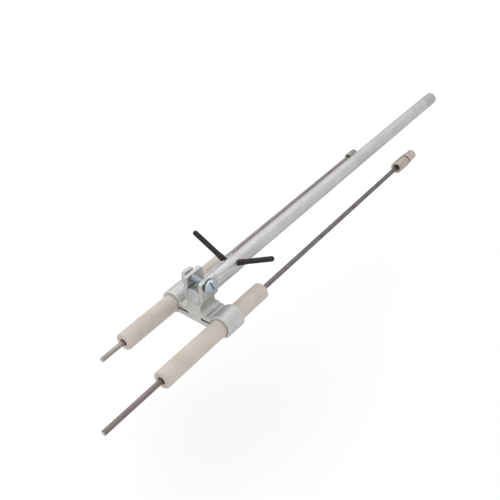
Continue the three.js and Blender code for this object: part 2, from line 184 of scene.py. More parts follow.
def drawing_origin():
    """Where the drawing frame's origin is in the row frame."""
    left, right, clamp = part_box("left_insulator"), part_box("right_insulator"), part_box("clamp_body")
    middle = (left[0] + left[1] + right[0] + right[1]) / 4
    return Vector((middle.x, clamp[0].y - WEB.front * MM, middle.z))


ORIGIN = drawing_origin()
TO_ROW_FRAME = Matrix.Translation(ORIGIN) @ Matrix.Scale(MM, 4)


def drawn_box(node):
    """The lowest and highest corner of a CAD node's box, in the drawing frame."""
    return [(corner - ORIGIN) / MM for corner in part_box(node)]


def turned_place(node):
    """Where a turned part's CAD node is, in the drawing frame: its axis, radius and two ends."""
    low, high = drawn_box(node)
    middle = (low + high) / 2
    return Sizes(x=middle.x, z=middle.z, radius=high.x - middle.x, front=low.y, rear=high.y)


# ---- Shapes -------------------------------------------------------------------------------------


def rounded(outline, steps=6):
    """An outline with its corners rounded. Each point is (across, along, radius of its corner)."""
    points = []
    for i, (across, along, radius) in enumerate(outline):
        corner = Vector((across, along))
        if radius == 0:
            points.append(corner)
            continue
        before = (Vector(outline[i - 1][:2]) - corner).normalized()
        after = (Vector(outline[(i + 1) % len(outline)][:2]) - corner).normalized()
        half_angle = before.angle(after) / 2
        reach = radius / math.tan(half_angle)
        centre = corner + (before + after).normalized() * radius / math.sin(half_angle)
        start = (corner + before * reach - centre).normalized()
        end = (corner + after * reach - centre).normalized()
        points.extend(centre + start.slerp(end, step / steps) * radius for step in range(steps + 1))
    return points


def joined_rows(shape, rows, closed):
    """Faces between neighbouring rows of vertices, which run round. A row of one is a pole."""
    pairs = list(zip(rows, rows[1:]))
    if closed:
        pairs.append((rows[-1], rows[0]))
    for near, far in pairs:
        count = max(len(near), len(far))
        for i in range(count):
            j = (i + 1) % count
            corners = [near[i % len(near)], near[j % len(near)], far[j % len(far)], far[i % len(far)]]
            shape.faces.new(list(dict.fromkeys(corners)))
    bmesh.ops.recalc_face_normals(shape, faces=shape.faces)
    return shape


def turned(outline, sides=SMOOTH_SIDES, closed=False):
    """A solid turned about Y from (radius, along) points: from axis to axis, or a closed loop."""
    shape = bmesh.new()
    rows = []
    for radius, along in outline:
        if radius == 0:
            rows.append([shape.verts.new((0, along, 0))])
            continue
        angles = [math.tau * i / sides for i in range(sides)]
        rows.append([
            shape.verts.new((radius * math.cos(a), along, radius * math.sin(a))) for a in angles
        ])
    return joined_rows(shape, rows, closed)


def bar(radius, front, rear, edge, sides=SMOOTH_SIDES):
    """A round bar along Y with rounded ends."""
    return turned(rounded([(0, front, 0), (radius, front, edge), (radius, rear, edge), (0, rear, 0)]), sides)


def drill(radius, front, rear, sides=SMOOTH_SIDES):
    """A cutter for a round hole along Y."""
    return bar(radius, front, rear, CUTTER_EDGE, sides)


def prism(outline, start, end, axis):
    """A flat outline pulled from start to end along the X or the Y axis."""
    def corner(across, up, along):
        return (along, across, up) if axis == "X" else (across, along, up)

    shape = bmesh.new()
    near = [shape.verts.new(corner(across, up, start)) for across, up in outline]
    far = [shape.verts.new(corner(across, up, end)) for across, up in outline]
    joined_rows(shape, [near, far], closed=False)
    shape.faces.new(near)
    shape.faces.new(far)
    bmesh.ops.recalc_face_normals(shape, faces=shape.faces)
    return shape


def block(x, y, z, bevel=0.0):
    """A block between two values on each axis, with its edges rounded by bevel."""
    shape = prism([(x[0], z[0]), (x[1], z[0]), (x[1], z[1]), (x[0], z[1])], y[0], y[1], "Y")
    if bevel:
        bmesh.ops.bevel(shape, geom=shape.edges[:], offset=bevel, segments=4, affect="EDGES", profile=0.5)
    return shape


def moved(shape, *matrices):
    for matrix in matrices:
        shape.transform(matrix)
    return shape


def at(x=0.0, y=0.0, z=0.0):
    return Matrix.Translation((x, y, z))


def along_x(shape, y, z):
    """Turns a shape drawn along Y so that it runs along X, and puts its axis at (y, z)."""
    return moved(shape, Matrix.Rotation(-math.pi / 2, 4, "Z"), at(0, y, z))


def along_z(shape, x, y):
    """Turns a shape drawn along Y so that it runs up Z, and puts its axis at (x, y)."""
    return moved(shape, Matrix.Rotation(math.pi / 2, 4, "X"), at(x, y, 0))


def threaded(thread, front, rear, edge, sides=SCREW_SIDES):
    """A rod along Y with a helical thread. edge is how far both ends are chamfered below the root.

    The strip that winds round has spare turns before the front and behind the rear, which are
    pressed flat against the two ends.
    """
    # Where each point of the thread's profile is within one pitch, and its radius.
    profile = [(0.12, thread.root), (0.44, thread.crest), (0.56, thread.crest), (0.88, thread.root)]
    end_radius = thread.root - edge
    spare = 2
    turns = math.ceil((rear - front) / thread.pitch) + 2 * spare
    shape = bmesh.new()
    strip = []
    for k in range(turns * sides):
        angle = math.tau * k / sides
        section = []
        for fraction, height in profile:
            along = front + thread.pitch * (k / sides + fraction - spare)
            along = min(max(along, front), rear)
            radius = min(height, end_radius + along - front, end_radius + rear - along)
            section.append(shape.verts.new((radius * math.cos(angle), along, radius * math.sin(angle))))
        strip.append(section)
    last = len(profile) - 1
    for k in range(len(strip) - sides - 1):
        here, following = strip[k], strip[k + 1]
        for s in range(last):
            shape.faces.new((here[s], following[s], following[s + 1], here[s + 1]))
        above, above_following = strip[k + sides], strip[k + sides + 1]
        shape.faces.new((here[last], following[last], above_following[0], above[0]))
    bmesh.ops.remove_doubles(shape, verts=shape.verts, dist=1e-5)
    loose = [vert for vert in shape.verts if not vert.link_faces]
    bmesh.ops.delete(shape, geom=loose, context="VERTS")
    bmesh.ops.holes_fill(shape, edges=shape.edges)
    bmesh.ops.recalc_face_normals(shape, faces=shape.faces)
    return shape


# ---- Shapes worked on with modifiers ------------------------------------------------------------


def helper_object(shape):
    """A helper object that holds the shape, for a modifier to work on. The shape is used up."""
    data = bpy.data.meshes.new("helper")
    shape.to_mesh(data)
    shape.free()
    helper = bpy.data.objects.new("helper", data)
    bpy.context.scene.collection.objects.link(helper)
    return helper


def modified(shape, kind, tool=None, **settings):
    """The shape after one modifier. The shape and the tool are used up."""
    subject = helper_object(shape)
    helpers = [subject]
    modifier = subject.modifiers.new(kind, kind)
    for name, value in settings.items():
        setattr(modifier, name, value)
    if tool is not None:
        modifier.object = helper_object(tool)
        helpers.append(modifier.object)
    result = bmesh.new()
    result.from_object(subject, bpy.context.evaluated_depsgraph_get())
    for helper in helpers:
        bpy.data.meshes.remove(helper.data)
    return result


def joined(shape, *additions):
    for addition in additions:
        shape = modified(shape, "BOOLEAN", addition, operation="UNION", solver="MANIFOLD")
    return shape


def cut(shape, *cutters):
    for cutter in cutters:
        shape = modified(shape, "BOOLEAN", cutter, operation="DIFFERENCE", solver="MANIFOLD")
    return shape


def common(shape, other):
    """What lies inside both shapes."""
    return modified(shape, "BOOLEAN", other, operation="INTERSECT", solver="MANIFOLD")


def softened(shape, voxel, passes):
    """One even skin over the shape with every edge rounded off, as on a casting or pressing."""
    shape = modified(shape, "REMESH", mode="VOXEL", voxel_size=voxel)
    return modified(shape, "SMOOTH", factor=0.5, iterations=passes)


# ---- Materials ----------------------------------------------------------------------------------


def srgb(red, green, blue):
    """A colour from its 0 to 255 values, as the linear colour that Blender's sockets take."""
    def linear(value):
        share = value / 255
        return share / 12.92 if share <= 0.04045 else ((share + 0.055) / 1.055) ** 2.4

    return (linear(red), linear(green), linear(blue), 1.0)


GRAZING_TINT = (0.55, 0.55, 0.56, 1.0)  # metals darken towards their outlines
# How far a softened normal agrees with the real one: on a flat face, and well into an edge.
FACE_AGREEMENT = 0.995
EDGE_AGREEMENT = 0.90


class Finish:
    """A node material made in steps. Each step changes the colour, roughness or relief so far."""

    def __init__(self, name, color, roughness, metallic=1.0):
        self.material = bpy.data.materials.new(name)
        self.material.use_nodes = True
        self.tree = self.material.node_tree
        self.shader = self.tree.nodes["Principled BSDF"]
        self.shader.inputs["Metallic"].default_value = metallic
        if metallic:
            self.shader.inputs["Specular Tint"].default_value = GRAZING_TINT
        self.color = color
        self.roughness = roughness
        self.normal = None

    def add(self, kind, inputs, **settings):
        """A node with its settings. An input is a value or another node's output."""
        node = self.tree.nodes.new(kind)
        for name, value in settings.items():
            setattr(node, name, value)
        for name, value in inputs.items():
            self.feed(node.inputs[name], value)
        return node

    def feed(self, socket, value):
        if isinstance(value, bpy.types.NodeSocket):
            self.tree.links.new(value, socket)
        else:
            socket.default_value = value

    def noise(self, size, stretch=(1, 1, 1), detail=5.0):
        """Noise with features about size millimetres across, drawn out by stretch on each axis."""
        coordinates = self.add("ShaderNodeTexCoord", {}).outputs["Object"]
        squeeze = [1 / (MM * size * factor) for factor in stretch]
        mapping = self.add("ShaderNodeMapping", {"Vector": coordinates, "Scale": squeeze})
        texture = self.add(
            "ShaderNodeTexNoise", {"Vector": mapping.outputs["Vector"], "Scale": 1.0, "Detail": detail},
        )
        return texture.outputs["Fac"]

    def ranged(self, value, start, end):
        """A mask that goes from 0 to 1 as the value goes from start to end, and stays there beyond."""
        inputs = {"Value": value, "From Min": start, "From Max": end}
        return self.add("ShaderNodeMapRange", inputs).outputs["Result"]

    def times(self, first, second):
        node = self.add("ShaderNodeMath", {0: first, 1: second}, operation="MULTIPLY")
        return node.outputs["Value"]

    def tint(self, mask, color):
        """Goes over to another colour where the mask is 1."""
        # A Mix node's colours are its inputs 6 and 7 and its output 2.
        node = self.add("ShaderNodeMix", {"Factor": mask, 6: self.color, 7: color}, data_type="RGBA")
        self.color = node.outputs[2]

    def gloss(self, mask, roughness):
        """Goes over to another roughness where the mask is 1."""
        # A Mix node's numbers are its inputs 2 and 3 and its output 0.
        node = self.add("ShaderNodeMix", {"Factor": mask, 2: self.roughness, 3: roughness})
        self.roughness = node.outputs[0]

    def relief(self, height, depth):
        """Raises the surface by up to depth millimetres where the height is 1."""
        inputs = {"Height": height, "Distance": depth * MM}
        if self.normal is not None:
            inputs["Normal"] = self.normal
        self.normal = self.add("ShaderNodeBump", inputs).outputs["Normal"]

    def edges(self, width):
        """A mask that is 1 on the piece's edges and 0 on its faces."""
        bevel = self.add("ShaderNodeBevel", {"Radius": width * MM}, samples=6)
        flat = self.add("ShaderNodeNewGeometry", {})
        agreement = self.add(
            "ShaderNodeVectorMath", {0: bevel.outputs["Normal"], 1: flat.outputs["Normal"]},
            operation="DOT_PRODUCT",
        )
        return self.ranged(agreement.outputs["Value"], FACE_AGREEMENT, EDGE_AGREEMENT)

    def crevice_shade(self, reach, widest=0.75):
        """A mask for painted shade: 1 deep in the piece's own corners and slots, where shade falls. widest is
        how open they may be.
        """
        shade = self.add("ShaderNodeAmbientOcclusion", {"Distance": reach * MM}, samples=6, only_local=True)
        deepest = widest - 0.5
        return self.ranged(shade.outputs["AO"], widest, deepest)

    def along(self, start, end):
        """A mask that goes from 0 at Y start to 1 at Y end, in the drawing frame."""
        coordinates = self.add("ShaderNodeTexCoord", {}).outputs["Object"]
        y = self.add("ShaderNodeSeparateXYZ", {"Vector": coordinates}).outputs["Y"]
        return self.ranged(y, ORIGIN.y + start * MM, ORIGIN.y + end * MM)

    def done(self):
        self.feed(self.shader.inputs["Base Color"], self.color)
        self.feed(self.shader.inputs["Roughness"], self.roughness)
        if self.normal is not None:
            self.feed(self.shader.inputs["Normal"], self.normal)
        return self.material


def cast_aluminium():
    finish = Finish("cast_aluminium", srgb(207, 208, 206), 0.55)
    blotches = finish.ranged(finish.noise(4.0), 0.35, 0.65)
    finish.tint(blotches, srgb(197, 198, 195))
    grain = finish.noise(0.35)
    finish.tint(finish.ranged(grain, 0.55, 0.75), srgb(180, 181, 179))
    # Painted shade: the corners and slots are darkened, and the deep gap between the ears is painted nearly
    # black.
    finish.tint(finish.crevice_shade(2.0), srgb(120, 120, 118))
    finish.tint(finish.crevice_shade(9.0, widest=0.5), srgb(56, 54, 52))
    edges = finish.edges(0.4)
    finish.tint(finish.times(edges, finish.ranged(finish.noise(0.8), 0.4, 0.6)), srgb(222, 223, 224))
    finish.gloss(finish.ranged(grain, 0.3, 0.7), 0.66)
    finish.relief(finish.noise(0.8), 0.04)
    finish.relief(grain, 0.02)
    return finish.done()


def drawn_aluminium(name, dull_from=None):
    """Drawn bar or tube with fine lengthwise streaks. Behind dull_from it has lost its sheen."""
    finish = Finish(name, srgb(206, 204, 205), 0.5)
    streaks = finish.noise(0.25, stretch=(1, 160, 1))
    finish.tint(finish.ranged(streaks, 0.4, 0.7), srgb(194, 192, 193))
    finish.gloss(finish.ranged(streaks, 0.3, 0.7), 0.58)
    smudges = finish.ranged(finish.noise(9.0, stretch=(1, 2, 1)), 0.45, 0.7)
    finish.tint(finish.times(smudges, 0.5), srgb(186, 181, 182))
    finish.gloss(smudges, 0.6)
    finish.tint(finish.edges(0.3), srgb(218, 218, 220))
    if dull_from is not None:
        dull = finish.along(dull_from, dull_from + DULL_FADE)
        finish.tint(finish.times(dull, 0.7), srgb(184, 184, 183))
        finish.gloss(dull, 0.64)
    finish.relief(streaks, 0.006)
    finish.relief(finish.noise(0.15), 0.003)
    return finish.done()


def zinc_plate(name, light, dark, roughness):
    """Zinc plate with soft clouds from its light to its dark colour."""
    finish = Finish(name, light, roughness)
    clouds = finish.ranged(finish.noise(1.6), 0.35, 0.65)
    finish.tint(clouds, dark)
    finish.gloss(clouds, roughness + 0.12)
    # Painted shade in the thread valleys and the head's slot.
    finish.tint(finish.crevice_shade(0.8), srgb(150, 153, 157))
    finish.tint(finish.times(finish.edges(0.15), 0.7), srgb(222, 226, 230))
    finish.relief(finish.noise(0.12), 0.006)
    return finish.done()


def spring_steel():
    finish = Finish("spring_steel", srgb(120, 118, 116), 0.45)
    clouds = finish.ranged(finish.noise(0.9), 0.35, 0.65)
    finish.tint(clouds, srgb(96, 94, 93))
    finish.gloss(clouds, 0.6)
    finish.tint(finish.edges(0.12), srgb(165, 163, 160))
    finish.relief(finish.noise(0.1), 0.006)
    return finish.done()


def nickel_plate(name, light, dark):
    """Nickel plate with soft clouds from its light to its dark colour."""
    finish = Finish(name, light, 0.36)
    clouds = finish.ranged(finish.noise(2.2), 0.35, 0.65)
    finish.tint(clouds, dark)
    finish.gloss(clouds, 0.48)
    # Painted shade in the terminals' mouths and corners.
    finish.tint(finish.crevice_shade(0.9), srgb(92, 80, 74))
    finish.tint(finish.times(finish.edges(0.2), 0.7), srgb(214, 206, 198))
    finish.relief(finish.noise(0.25, stretch=(4, 1, 4)), 0.006)
    return finish.done()


def drawn_wire(name, light, dark, roughness):
    """Drawn wire with lengthwise streaks and patchy oxide, from its light to its dark colour."""
    finish = Finish(name, light, roughness)
    streaks = finish.noise(0.18, stretch=(1, 60, 1))
    finish.tint(finish.ranged(streaks, 0.35, 0.7), dark)
    patches = finish.ranged(finish.noise(3.0, stretch=(1, 3, 1)), 0.45, 0.65)
    finish.tint(finish.times(patches, 0.6), dark)
    finish.gloss(patches, roughness + 0.12)
    finish.relief(streaks, 0.008)
    return finish.done()


def ground_end():
    finish = Finish("ground_end", srgb(214, 212, 210), 0.3)
    scratches = finish.noise(0.08, stretch=(12, 1, 1))
    finish.tint(finish.ranged(scratches, 0.4, 0.7), srgb(176, 173, 171))
    finish.relief(scratches, 0.008)
    return finish.done()


def black_oxide():
    finish = Finish("black_oxide", srgb(64, 60, 57), 0.5, metallic=0.6)
    clouds = finish.ranged(finish.noise(1.5), 0.35, 0.65)
    finish.tint(clouds, srgb(44, 41, 39))
    finish.gloss(clouds, 0.66)
    finish.tint(finish.times(finish.edges(0.25), 0.7), srgb(104, 100, 96))
    finish.relief(finish.noise(0.3), 0.015)
    return finish.done()


def ceramic():
    """Unglazed pressed ceramic: pinkish beige, with a fine grain, faint clouds and a few dark specks."""
    finish = Finish("ceramic", srgb(198, 189, 183), 0.86, metallic=0.0)
    finish.tint(finish.ranged(finish.noise(11.0), 0.4, 0.65), srgb(190, 181, 171))
    grain = finish.noise(0.3)
    finish.tint(finish.ranged(grain, 0.5, 0.8), srgb(176, 166, 156))
    specks = finish.ranged(finish.noise(0.5, detail=1.0), 0.74, 0.80)
    finish.tint(finish.times(specks, 0.6), srgb(128, 112, 98))
    finish.tint(finish.times(finish.edges(0.4), 0.5), srgb(216, 209, 202))
    finish.gloss(finish.ranged(grain, 0.3, 0.7), 0.92)
    finish.relief(finish.noise(1.4), 0.02)
    finish.relief(grain, 0.02)
    return finish.done()


def cement():
    finish = Finish("cement", srgb(92, 82, 72), 0.95, metallic=0.0)
    grit = finish.noise(0.25)
    finish.tint(finish.ranged(grit, 0.4, 0.65), srgb(58, 50, 43))
    finish.gloss(finish.ranged(grit, 0.4, 0.7), 0.8)
    finish.relief(grit, 0.08)
    return finish.done()


def pale_floor():
    finish = Finish("pale_floor", srgb(245, 245, 245), 0.9, metallic=0.0)
    finish.tint(finish.ranged(finish.noise(400.0), 0.3, 0.7), srgb(243, 243, 243))
    return finish.done()


# ---- Pieces -------------------------------------------------------------------------------------

SHARP_EDGE = math.radians(38)
END_FACING = 0.99  # a face that points this much along Y is one of a wire's cut ends


def finish_piece(node, shape, slot, *materials):
    """Puts a shape in the row frame as the piece that stands for a CAD node, on its body."""
    shape.transform(TO_ROW_FRAME)
    data = bpy.data.meshes.new(f"{node}_piece")
    shape.to_mesh(data)
    shape.free()
    data.shade_smooth()
    data.set_sharp_from_angle(angle=SHARP_EDGE)
    for material in materials:
        data.materials.append(material)
    piece = bpy.data.objects.new(f"{node}_piece", data)
    bpy.context.scene.collection.objects.link(piece)
    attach(piece, frame["nodes"][node]["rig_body"])
    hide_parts(node)


def clamp_front_outline():
    """Right half of the clamp seen from the front, as (x, z), then its mirror image."""
    foot, neck = Vector(WEB_TOP[-1]), Vector((NECK.half_width, NECK.bottom))
    curve_corner = Vector((NECK.half_width + NECK.corner_out, WEB_TOP[-1][1] + NECK.corner_up))
    half = [(WEB.end, WEB.bottom), *WEB_TOP]
    steps = 12
    for step in range(1, steps + 1):
        t = step / steps
        point = foot * (1 - t) ** 2 + curve_corner * 2 * t * (1 - t) + neck * t ** 2
        half.append(tuple(point))
    low = -math.acos(NECK.half_width / SADDLE.radius)
    high = -math.acos(EARS.outer / SADDLE.radius)
    for step in range(steps + 1):
        angle = low + (high - low) * step / steps
        half.append((SADDLE.radius * math.cos(angle), ROD_HEIGHT + SADDLE.radius * math.sin(angle)))
    half.append((EARS.outer, EARS.top))
    return half + [(-x, z) for x, z in reversed(half)]


def clamp_side_outline():
    """The clamp seen from the side, as (y, z): the neck set forward, the ears' backs rounded."""
    lip = WEB_TOP[2][1]
    return rounded([
        (WEB.front, WEB.bottom - PAST, 0),
        (WEB.rear, WEB.bottom - PAST, 0),
        (WEB.rear, lip + NECK.foot_rear, NECK.foot_edge),
        (NECK.rear, lip + NECK.foot_front, NECK.foot_fillet),
        (NECK.rear, NECK.bottom + NECK.flare_start, NECK.flare_fillet),
        (EARS.rear, NECK.bottom + NECK.flare_end, NECK.flare_edge),
        (EARS.rear, EARS.top, EARS.rear - EARS.top_rear),
        (WEB.front, EARS.top, EARS.front_edge),
    ])


def clamp_body():
    front_view = prism(clamp_front_outline(), WEB.front, WEB.rear, "Y")
    side_view = prism(clamp_side_outline(), -WEB.end - PAST, WEB.end + PAST, "X")
    body = common(front_view, side_view)
    far_front, far_rear = WEB.front - PAST, WEB.rear + PAST
    cross_hole = drill(CROSS_THREAD.crest + CLEARANCE, -EARS.outer - PAST, EARS.outer + PAST)
    cutters = [
        moved(drill(SADDLE.bore, far_front, far_rear), at(z=ROD_HEIGHT)),
        block((-EARS.inner, EARS.inner), (far_front, far_rear), (ROD_HEIGHT, EARS.top + PAST)),
        along_x(cross_hole, CROSS_SCREW.y, CROSS_SCREW.z),
    ]
    for side in (-1, 1):
        x = side * CERAMIC_X
        body = joined(body, moved(bar(RING.radius, RING.front, RING.rear, RING.edge), at(x)))
        slot_ends = sorted((side * SLOT.inner, x))
        pinch_hole = drill(
            FINE_THREAD.crest + CLEARANCE, WEB.bottom - PAST, RING_SCREW.far_end + RING_SCREW.hole_spare,
        )
        cutters += [
            moved(drill(RING.bore, far_front, far_rear), at(x)),
            block(slot_ends, (far_front, far_rear), (-SLOT.half_width, SLOT.half_width)),
            moved(drill(SLOT.half_width, far_front, far_rear), at(side * SLOT.inner)),
            along_z(pinch_hole, side * RING_SCREW.x, RING_SCREW.y),
        ]
    body = softened(cut(body, *cutters), voxel=0.28, passes=4)
    finish_piece("clamp_body", body, "cast_aluminium", cast_aluminium())


def slotted_screw(screw, thread, shank_length):
    """A slotted pan-head screw along Y. The head stands on y = 0 and the thread hangs below it."""
    stub_radius = thread.root - STUB.inset
    head = turned(rounded([
        (0, -STUB.length, 0),
        (stub_radius, -STUB.length, 0),
        (stub_radius, 0, 0),
        (screw.head_radius, 0, HEAD_EDGE),
        (screw.head_radius, screw.head_height, screw.rounding),
        (0, screw.head_height, 0),
    ]), SCREW_SIDES)
    half, reach = screw.slot_width / 2, screw.head_radius + PAST
    slot_floor = screw.head_height - screw.slot_depth
    slot = block((-half, half), (slot_floor, screw.head_height + PAST), (-reach, reach))
    slot.transform(Matrix.Rotation(screw.slot_turn, 4, "Y"))
    shank = threaded(thread, -shank_length, -STUB.overlap, THREAD_CHAMFER)
    return cut(joined(head, shank), slot)


def clamp_screw(material):
    screw = slotted_screw(CROSS_SCREW, CROSS_THREAD, CROSS_SCREW.seat - CROSS_SCREW.far_end)
    screw = along_x(moved(screw, at(y=CROSS_SCREW.seat)), CROSS_SCREW.y, CROSS_SCREW.z)
    finish_piece("clamp_screw", screw, "zinc_plate", material)


def ring_screw(name, side, material):
    screw = slotted_screw(RING_SCREW, FINE_THREAD, RING_SCREW.far_end - RING_SCREW.seat)
    screw.transform(Matrix.Rotation(-math.pi / 2, 4, "X"))
    screw.transform(at(side * RING_SCREW.x, RING_SCREW.y, RING_SCREW.seat))
    finish_piece(name, screw, "zinc_plate", material)


def spring_washer():
    """A washer of square wire, cut across once, with one end higher than the other."""
    section = rounded([
        (WASHER.bore, 0, WASHER.edge),
        (WASHER.radius, 0, WASHER.edge),
        (WASHER.radius, WASHER.thickness, WASHER.edge),
        (WASHER.bore, WASHER.thickness, WASHER.edge),
    ], steps=3)
    steps = 72
    shape = bmesh.new()
    rows = []
    for step in range(steps + 1):
        angle = WASHER.gap / 2 + (math.tau - WASHER.gap) * step / steps
        lift = WASHER.rise * step / steps
        rows.append([
            shape.verts.new((radius * math.cos(angle), along + lift, radius * math.sin(angle)))
            for radius, along in section
        ])
    shape.faces.new(rows[0])
    shape.faces.new(rows[-1])
    joined_rows(shape, rows, closed=False)
    shape = along_x(moved(shape, at(y=WASHER.seat)), CROSS_SCREW.y, CROSS_SCREW.z)
    finish_piece("clamp_spring_washer", shape, "dark_washer", spring_steel())


def square_nut(material):
    """A thin square nut. A cone takes the corners off its outer face, and its bore is countersunk."""
    half = NUT.side / 2
    blank = block((-half, half), (-NUT.thickness, 0), (-half, half), bevel=NUT.edge)
    wide = half * math.sqrt(2) + PAST
    cone_tip = -NUT.thickness - NUT.cone_past
    cone = turned([
        (0, PAST),
        (wide, PAST),
        (wide, NUT.cone_depth - NUT.thickness),
        (half, cone_tip),
        (0, cone_tip),
    ])
    bore = turned([
        (0, -NUT.thickness - PAST),
        (NUT.bore + NUT.countersink + PAST, -NUT.thickness - PAST),
        (NUT.bore, -NUT.thickness + NUT.countersink),
        (NUT.bore, PAST),
        (0, PAST),
    ], SCREW_SIDES)
    nut = moved(cut(common(blank, cone), bore), Matrix.Rotation(NUT.turn, 4, "Y"), at(y=NUT.seat))
    finish_piece("clamp_square_nut", along_x(nut, CROSS_SCREW.y, CROSS_SCREW.z), "zinc_plate", material)


def support_rod():
    place = turned_place("support_rod")
    rod = moved(bar(place.radius, place.front, place.rear, ROD_EDGE), at(place.x, 0, place.z))
    finish_piece("support_rod", rod, "bright_aluminium",
                 drawn_aluminium("support_rod_metal", dull_from=place.rear - ROD_DULL_LENGTH))


def leg_matrix(side):
    """Puts a leg drawn along Y, from the start of its axis outwards, in its place."""
    line = LEG_LINES[side]
    turn = Vector((0, 1, 0)).rotation_difference(line.end - line.root)
    return Matrix.Translation(line.root) @ turn.to_matrix().to_4x4()


def centring_sleeve():
    """A tube with its top opened: its rims run down to the rear and carry the two legs."""
    bottom = ROD_HEIGHT - SLEEVE.radius
    front, rear = SLEEVE.front - PAST, SLEEVE.rear + PAST
    tube = moved(bar(SLEEVE.radius, SLEEVE.front, SLEEVE.rear, SLEEVE.edge), at(z=ROD_HEIGHT))
    collar_low = bottom - SLEEVE.collar_drop
    collar = bar(SLEEVE.collar_radius, collar_low, bottom + SLEEVE.collar_overlap, SLEEVE.edge)
    screw_hole = drill(FINE_THREAD.crest + CLEARANCE, collar_low - PAST, ROD_HEIGHT)
    slope = (SLEEVE.rim_rear - SLEEVE.rim_front) / (SLEEVE.rear - SLEEVE.front)
    above_rims = prism([
        (front, SLEEVE.rim_front - slope * PAST),
        (rear, SLEEVE.rim_rear + slope * PAST),
        (rear, EARS.top),
        (front, EARS.top),
    ], -SADDLE.radius, SADDLE.radius, "X")
    notches = [
        moved(drill(LEG.root_radius + CLEARANCE, SLEEVE.radius / 2, SLEEVE.radius * 1.5), leg_matrix(side))
        for side in LEG_LINES
    ]
    sleeve = cut(
        joined(tube, along_z(collar, 0, SLEEVE.screw_y)),
        moved(drill(SLEEVE.bore, front, rear), at(z=ROD_HEIGHT)),
        along_z(screw_hole, 0, SLEEVE.screw_y),
        above_rims,
        *notches,
    )
    finish_piece("centring_sleeve", softened(sleeve, voxel=0.22, passes=3), "bright_aluminium",
                 drawn_aluminium("sleeve_metal"))


def centring_leg(side, material):
    """A pin with a thicker root, a gentle taper and a rounded end."""
    line = LEG_LINES[side]
    reach = (line.end - line.root).length - LEG.end_inset
    shoulder = line.start + LEG.root_length
    pin = turned(rounded([
        (0, line.start, 0),
        (LEG.root_radius, line.start, LEG.root_edge),
        (LEG.root_radius, shoulder, LEG.taper_blend),
        (LEG.radius, shoulder + LEG.taper, LEG.taper_blend),
        (LEG.radius, reach, LEG.end_rounding),
        (0, reach, 0),
    ]), SCREW_SIDES)
    finish_piece(f"{side}_centring_leg", moved(pin, leg_matrix(side)), "black_steel", material)


def sleeve_screw(material):
    """A headless screw with a hexagon socket, under the rod."""
    low, high = drawn_box("sleeve_set_screw")
    screw = threaded(FINE_THREAD, low.z, high.z, SET_SCREW.edge)
    socket_end = low.z + SET_SCREW.socket_depth
    socket = turned([
        (0, low.z - PAST),
        (SET_SCREW.socket_radius, low.z - PAST),
        (SET_SCREW.socket_radius, socket_end),
        (0, socket_end + SET_SCREW.socket_point),
    ], sides=6)
    finish_piece("sleeve_set_screw", along_z(cut(screw, socket), 0, SLEEVE.screw_y), "black_steel", material)


def insulator(node, material):
    """A ceramic tube with a wider seat for the cement at each end."""
    place = turned_place(node)
    seat, cone = CERAMIC.seat_depth, CERAMIC.seat_radius - CERAMIC.bore
    tube = turned(rounded([
        (CERAMIC.seat_radius, place.front, CERAMIC.seat_edge),
        (place.radius, place.front, CERAMIC.edge),
        (place.radius, place.rear, CERAMIC.edge),
        (CERAMIC.seat_radius, place.rear, CERAMIC.seat_edge),
        (CERAMIC.seat_radius, place.rear - seat, 0),
        (CERAMIC.bore, place.rear - seat - cone, 0),
        (CERAMIC.bore, place.front + seat + cone, 0),
        (CERAMIC.seat_radius, place.front + seat, 0),
    ]), closed=True)
    finish_piece(node, moved(tube, at(place.x)), "ceramic", material)


def seal(node, wire_node, material):
    """A plug of cement round a wire, with a rough, uneven face at both ends."""
    place = turned_place(node)
    bore = turned_place(wire_node).radius + CEMENT.gap
    rings = 6
    length = place.rear - place.front
    outline = [(bore + (place.radius - bore) * i / rings, 0) for i in range(rings + 1)]
    outline += [(radius, length) for radius, _ in reversed(outline)]
    plug = turned(outline, SCREW_SIDES, closed=True)
    start = Vector((place.x, place.front, 0))
    for vert in plug.verts:
        rough = CEMENT.dip * (0.5 + 0.5 * noise.noise(vert.co * CEMENT.bumps + start))
        vert.co.y += rough if vert.co.y < length / 2 else -rough
    finish_piece(node, moved(plug, at(place.x, place.front, place.z)), "cement", material)


def straight_wire(node, slot, material, end_material):
    """A length of wire. Its cut ends are bare metal."""
    place = turned_place(node)
    wire = bar(place.radius, place.front, place.rear, WIRE_EDGE, SCREW_SIDES)
    for face in wire.faces:
        if abs(face.normal.y) > END_FACING:
            face.material_index = 1
    finish_piece(node, moved(wire, at(place.x, 0, place.z)), slot, material, end_material)


def terminal_sleeve(node, material):
    """A socket for the lead rod, open at the front through a cone, with a neck behind it.

    The threaded stud behind the neck is not drawn here. It is only in the CAD model, and the cap
    nut hides the place.
    """
    place = turned_place(node)
    rear = place.front + TERMINAL.length
    neck_end = rear + TERMINAL.neck_length
    socket_end = place.front + TERMINAL.socket_depth
    mouth_end = place.front + TERMINAL.mouth_depth
    sleeve = turned(rounded([
        (0, socket_end, 0),
        (SOCKET.radius, socket_end, 0),
        (SOCKET.radius, mouth_end + SOCKET.lead_in, 0),
        (TERMINAL.mouth_radius, mouth_end, 0),
        (TERMINAL.mouth_radius, place.front + TERMINAL.cone_depth, 0),
        (TERMINAL.cone_radius, place.front, TERMINAL.cone_edge),
        (place.radius, place.front, TERMINAL.edge),
        (place.radius, rear, TERMINAL.edge),
        (TERMINAL.neck_radius, rear, TERMINAL.neck_edge),
        (TERMINAL.neck_radius, neck_end, TERMINAL.neck_edge),
        (0, neck_end, 0),
    ]))
    finish_piece(node, moved(sleeve, at(place.x, 0, place.z)), "nickel_plate", material)


